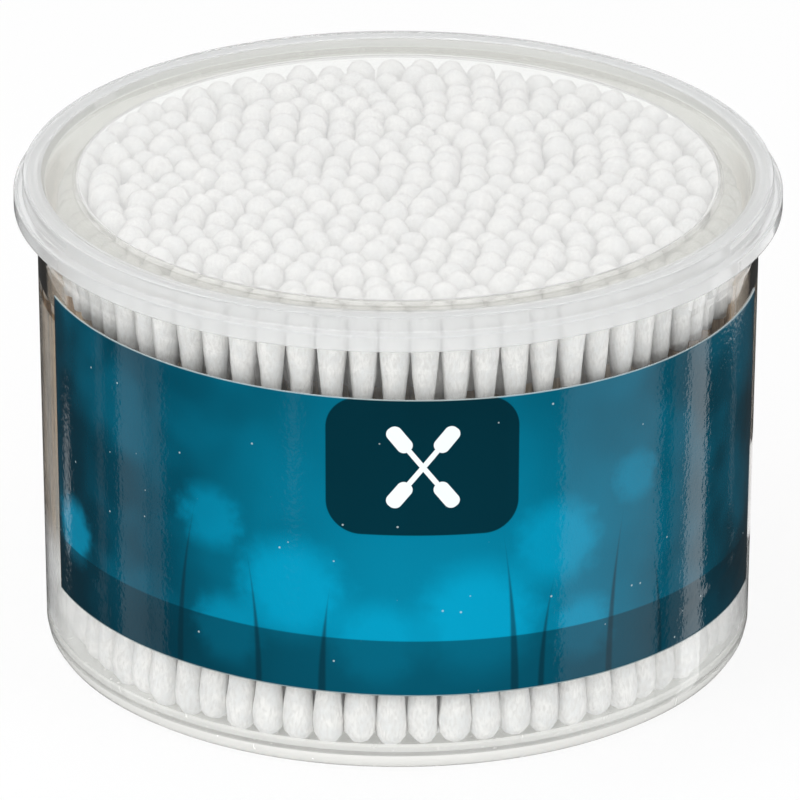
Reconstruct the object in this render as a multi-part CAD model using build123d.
from build123d import *

import math
import os
import random

# A round clear tub of bamboo cotton swabs, standing upright, with a press-on lid and a wrap label.
# Millimetres. The tub stands on z = 0, its axis is Z, and the middle of the label faces -Y.

# Cotton swab: a bamboo stick with a wound bud at each end
swab_length = 74.0
stick_diameter = 2.2
bud_diameter = 4.65
bud_length = 14.5
bud_tip_to_belly = 4.0
cotton_on_stick = 0.35
bud_sides = 5
stick_sides = 4

# How the swabs stand in the tub
swab_gap = 0.17
swab_least_gap = 0.04
row_wall_gap = 0.15
row_depth = 1.0
row_to_crowd = 3.9
bundle_shift = 0.7
bundle_shift_angle = -73.3
height_spread = 0.8
row_sway = 0.5
row_sway_waves = 3
row_sway_start_angle = 57.0
crowd_spread = 0.545
crowd_turn_angle = 137.5
crowd_stray = 0.9
crowd_lean = 0.45
settling_rounds = 150
head_room = 0.1
pattern_seed = 13

# Tub: outside radius at the table, drafted wall, foot ring, shoulder, neck and flared mouth
tub_radius = 57.25
tub_draft = 0.66
tub_wall = 1.3
base_corner = 3.0
foot_width = 1.8
foot_recess = 1.5
foot_recess_slope = 1.2
floor_height = 3.0
floor_corner = 1.2
shoulder_drop = 9.9
shoulder_step = 0.42
mouth_flare = 1.72
mouth_rise = 1.5
mouth_height = 1.9
mouth_wall = 1.2

# Lid: a thin moulded cap whose rim straddles the mouth, with a sunk moat and a raised middle panel
lid_wall = 0.6
lid_side_gap = 0.35
lid_plug_gap = 0.2
bead_gap = 0.05
bead_rise = 0.6
rim_drop_to_ledge = 2.5
ledge_width = 1.45
ledge_slope = 0.15
skirt_depth = 2.7
moat_depth = 1.4
moat_slope = 0.5
moat_width = 5.2
panel_step = 0.7

# Wrap label on the front of the tub, put on slightly out of level
label_film = 0.15
label_glue = 0.02
label_above_table = 13.7
label_below_shoulder = 4.4
label_left_angle = 70.3
label_right_angle = 79.5
label_tilt_angle = 1.15

# Heights and radii that follow from the sizes above
tub_height = floor_height + swab_length + height_spread + head_room + moat_depth
shoulder_height = tub_height - shoulder_drop
mouth_base = tub_height - mouth_height
flare_base = mouth_base - mouth_rise


def outside_radius(height):
    """Radius of the drafted wall's outer face."""
    return tub_radius + height * math.tan(math.radians(tub_draft))


def inside_radius(height):
    """Radius of the drafted wall's inner face."""
    return outside_radius(height) - tub_wall


neck_radius = outside_radius(shoulder_height) - shoulder_step
mouth_radius = neck_radius + mouth_flare
mouth_inside = mouth_radius - mouth_wall
plug_outside = mouth_inside - lid_plug_gap
rim_inside = plug_outside - lid_wall
moat_outside = rim_inside - moat_slope
panel_radius = moat_outside - moat_width


def turned(outline):
    """Turns a closed outline of (radius, height) points once round the Z axis."""
    with BuildPart() as turned_part:
        with BuildSketch(Plane.XZ):
            with BuildLine():
                Polyline(*outline, close=True)
            make_face()
        revolve(axis=Axis.Z)
    return turned_part.part


def make_tub():
    """The clear tub, one moulding, with its outer base corner rounded."""
    foot_outside = outside_radius(0)
    foot_inside = foot_outside - base_corner - foot_width
    outline = [
        (0, foot_recess),
        (foot_inside - foot_recess_slope, foot_recess),
        (foot_inside, 0),
        (foot_outside, 0),
        (outside_radius(shoulder_height), shoulder_height),
        (neck_radius, shoulder_height + shoulder_step),
        (neck_radius, flare_base),
        (mouth_radius, mouth_base),
        (mouth_radius, tub_height),
        (mouth_inside, tub_height),
        (mouth_inside, mouth_base),
        (inside_radius(flare_base), flare_base),
        (inside_radius(floor_height + floor_corner), floor_height + floor_corner),
        (inside_radius(floor_height) - floor_corner, floor_height),
        (0, floor_height),
    ]
    tub = turned(outline)
    sharp_rings = tub.edges().filter_by(GeomType.CIRCLE).filter_by(lambda ring: ring.radius > foot_outside - 0.01)
    base_ring = sharp_rings.sort_by(Axis.Z)[0]
    return fillet(base_ring, base_corner)


def make_lid():
    """The press-on lid, one thin moulding, from its middle panel out to the skirt and back inside."""
    top = tub_height + lid_wall
    bore = mouth_radius + lid_side_gap
    rim_outside = bore + lid_wall
    moat_top = top - moat_depth
    panel_top = moat_top + panel_step
    ledge = top - rim_drop_to_ledge
    skirt_outside = rim_outside + ledge_width
    skirt_top = ledge - ledge_slope
    skirt_bottom = skirt_top - skirt_depth
    bead_radius = mouth_radius + bead_gap
    outer_face = [
        (0, panel_top),
        (panel_radius, panel_top),
        (panel_radius + panel_step, moat_top),
        (moat_outside, moat_top),
        (rim_inside, top),
        (rim_outside, top),
        (rim_outside, ledge),
        (skirt_outside, skirt_top),
        (skirt_outside, skirt_bottom),
    ]
    inner_face = [
        (skirt_outside - lid_wall, skirt_bottom),
        (skirt_outside - lid_wall, skirt_top - lid_wall),
        (bead_radius, ledge - lid_wall),
        (bore, ledge - lid_wall + bead_rise),
        (bore, top - lid_wall),
        (plug_outside, top - lid_wall),
        (moat_outside + lid_wall / 2, moat_top - lid_wall),
        (panel_radius + panel_step - lid_wall / 2, moat_top - lid_wall),
        (panel_radius - lid_wall / 2, panel_top - lid_wall),
        (0, panel_top - lid_wall),
    ]
    return turned(outer_face + inner_face)


def make_side_label():
    """The wrap label, a thin film on the drafted wall, cut level in its own slightly tilted frame."""
    low = label_above_table
    high = shoulder_height - label_below_shoulder
    slack = tub_radius * math.sin(math.radians(label_tilt_angle))
    inner = label_glue
    outer = label_glue + label_film
    film_section = [
        (outside_radius(low - slack) + inner, low - slack),
        (outside_radius(low - slack) + outer, low - slack),
        (outside_radius(high + slack) + outer, high + slack),
        (outside_radius(high + slack) + inner, high + slack),
    ]
    with BuildPart() as film:
        with BuildSketch(Plane.XZ.rotated((0, 0, -90 - label_left_angle))):
            with BuildLine():
                Polyline(*film_section, close=True)
            make_face()
        revolve(axis=Axis.Z, revolution_arc=label_left_angle + label_right_angle)
    middle = Location((0, 0, (low + high) / 2), (0, label_tilt_angle, 0))
    slab = middle * Box(4 * tub_radius, 4 * tub_radius, high - low)
    return film.part & slab


def faceted(rings, sides):
    """A solid with flat faces from (radius, height) rings, bottom first; a radius of 0 is a point."""
    def ring_points(radius, height):
        if radius == 0:
            return [Vector(0, 0, height)]
        step = 2 * math.pi / sides
        return [Vector(radius * math.cos(i * step), radius * math.sin(i * step), height) for i in range(sides)]

    levels = [ring_points(radius, height) for radius, height in rings]
    faces = []
    for low, high in zip(levels, levels[1:]):
        for i in range(sides):
            j = (i + 1) % sides
            corners = [low[i % len(low)], low[j % len(low)], high[j % len(high)], high[i % len(high)]]
            distinct = [point for k, point in enumerate(corners) if point != corners[k - 1]]
            faces.append(Face(Wire.make_polygon(distinct, close=True)))
    for level in (levels[0], levels[-1]):
        if len(level) > 1:
            faces.append(Face(Wire.make_polygon(level, close=True)))
    return Solid(Shell(faces))


def unit(degrees):
    """The point at that angle on a circle of radius 1, as a complex number."""
    return complex(math.cos(math.radians(degrees)), math.sin(math.radians(degrees)))


def settle(points, fixed, reach):
    """Pushes crowding points apart until they lie about reach from each other and from the fixed ones."""
    for _ in range(settling_rounds):
        pushes = [0j] * len(points)
        cells = {}
        for index, point in enumerate(points + fixed):
            cells.setdefault((int(point.real // reach), int(point.imag // reach)), []).append((index, point))
        for index, point in enumerate(points):
            column, row = int(point.real // reach), int(point.imag // reach)
            for near in [(column + a, row + b) for a in (-1, 0, 1) for b in (-1, 0, 1)]:
                for other_index, other in cells.get(near, []):
                    apart = abs(point - other)
                    if other_index != index and 0 < apart < reach:
                        share = 0.5 if other_index < len(points) else 1.0
                        pushes[index] += share * (reach - apart) * (point - other) / apart
        points = [point + 0.7 * push for point, push in zip(points, pushes)]
    return points


def row_angles(radii, reach, chance):
    """Angles of the swabs of the row: each is reach from the one before, and what is left over goes by chance."""
    steps = []
    for this, other in zip(radii, radii[1:] + radii[:1]):
        cosine = (this ** 2 + other ** 2 - reach ** 2) / (2 * this * other)
        steps.append(math.degrees(math.acos(cosine)))
    shares = [chance.random() for _ in steps]
    slack = (360 - sum(steps)) / sum(shares)
    angles = [0.0]
    for step, share in zip(steps[:-1], shares):
        angles.append(angles[-1] + step + slack * share)
    return angles


def stray(size, chance):
    """A small step in the plane by chance."""
    return size * complex(chance.uniform(-1, 1), chance.uniform(-1, 1))


def stand_swabs():
    """Foot and head places of the row along the wall and of the crowd inside it, as complex numbers."""
    chance = random.Random(pattern_seed)
    reach = bud_diameter + swab_gap
    row_radius = inside_radius(floor_height) - bud_diameter / 2 - row_wall_gap - bundle_shift
    row_count = int(2 * math.pi * (row_radius - row_depth) / reach)
    row_radii = [row_radius - row_depth * chance.random() for _ in range(row_count)]
    bundle_middle = bundle_shift * unit(bundle_shift_angle)
    row_feet = []
    row_heads = []
    for radius, angle in zip(row_radii, row_angles(row_radii, reach, chance)):
        sway = row_sway * unit(row_sway_waves * angle + row_sway_start_angle).imag
        row_feet.append(bundle_middle + radius * unit(angle))
        row_heads.append(bundle_middle + (radius + 1j * sway) * unit(angle))
    crowd = []
    crowd_count = int(((row_radius - row_to_crowd) / (crowd_spread * reach)) ** 2)
    for i in range(crowd_count):
        spot = crowd_spread * reach * math.sqrt(i + 0.5) * unit(crowd_turn_angle * i)
        crowd.append(bundle_middle + spot + stray(crowd_stray, chance))
    feet = settle(crowd, row_feet, reach)
    heads = settle([foot + stray(crowd_lean, chance) for foot in feet], row_heads, reach)
    kept = []
    least = bud_diameter + swab_least_gap
    for foot, head in zip(feet, heads):
        foot_free = all(abs(foot - other) > least for other in row_feet + [pair[0] for pair in kept])
        head_free = all(abs(head - other) > least for other in row_heads + [pair[1] for pair in kept])
        if foot_free and head_free:
            kept.append((foot, head))
    return list(zip(row_feet, row_heads)), kept


def quarter(place):
    """Name of the quarter of the tub that a place lies in."""
    sector = int(((math.degrees(math.atan2(place.imag, place.real)) + 135) % 360) // 90)
    return ("front", "right", "back", "left")[sector]


def make_swabs():
    """All swabs, in nodes by quarter: the row along the wall piece by piece, the crowd inside as whole swabs."""
    chance = random.Random(pattern_seed + 1)
    stick_radius = stick_diameter / 2
    bud_radius = bud_diameter / 2
    bare_stick = swab_length - 2 * bud_length
    stick = faceted([(stick_radius, 0), (stick_radius, bare_stick)], stick_sides)
    top_bud = faceted(
        [(stick_radius + cotton_on_stick, 0), (bud_radius, bud_length - bud_tip_to_belly), (0, bud_length)],
        bud_sides,
    )
    bottom_bud = Rot(180, 0, 0) * top_bud
    whole = faceted(
        [
            (bud_radius, 0),
            (stick_radius, swab_length / 2),
            (bud_radius, swab_length - bud_tip_to_belly),
            (0, swab_length),
        ],
        stick_sides,
    )
    nodes = {}
    row, crowd = stand_swabs()
    for pieces, places in (("row", row), ("crowd", crowd)):
        for foot, head in places:
            under_panel = abs(head) < panel_radius - bud_radius - panel_step
            spread = height_spread + panel_step if under_panel else height_spread
            lift = floor_height + chance.uniform(0, spread)
            along = Vector(head.real - foot.real, head.imag - foot.imag, swab_length).normalized()
            stand = Location(Plane((foot.real, foot.imag, lift), z_dir=along))
            spin = Rot(0, 0, chance.uniform(0, 360))
            side = quarter(foot)
            if pieces == "row":
                low_end = Pos(0, 0, bud_length)
                high_end = Pos(0, 0, bud_length + bare_stick)
                nodes.setdefault("row_bottom_buds_" + side, []).append(stand * low_end * spin * bottom_bud)
                nodes.setdefault("row_sticks_" + side, []).append(stand * low_end * spin * stick)
                nodes.setdefault("row_top_buds_" + side, []).append(stand * high_end * spin * top_bud)
            else:
                nodes.setdefault("inner_swabs_" + side, []).append(stand * spin * whole)
    return nodes


def main():
    os.makedirs("parts", exist_ok=True)
    nodes = {"tub": make_tub(), "lid": make_lid(), "side_label": make_side_label()}
    for name, solids in make_swabs().items():
        nodes[name] = Compound(solids)
    for name, shape in nodes.items():
        export_step(shape, os.path.join("parts", name + ".step"))


main()
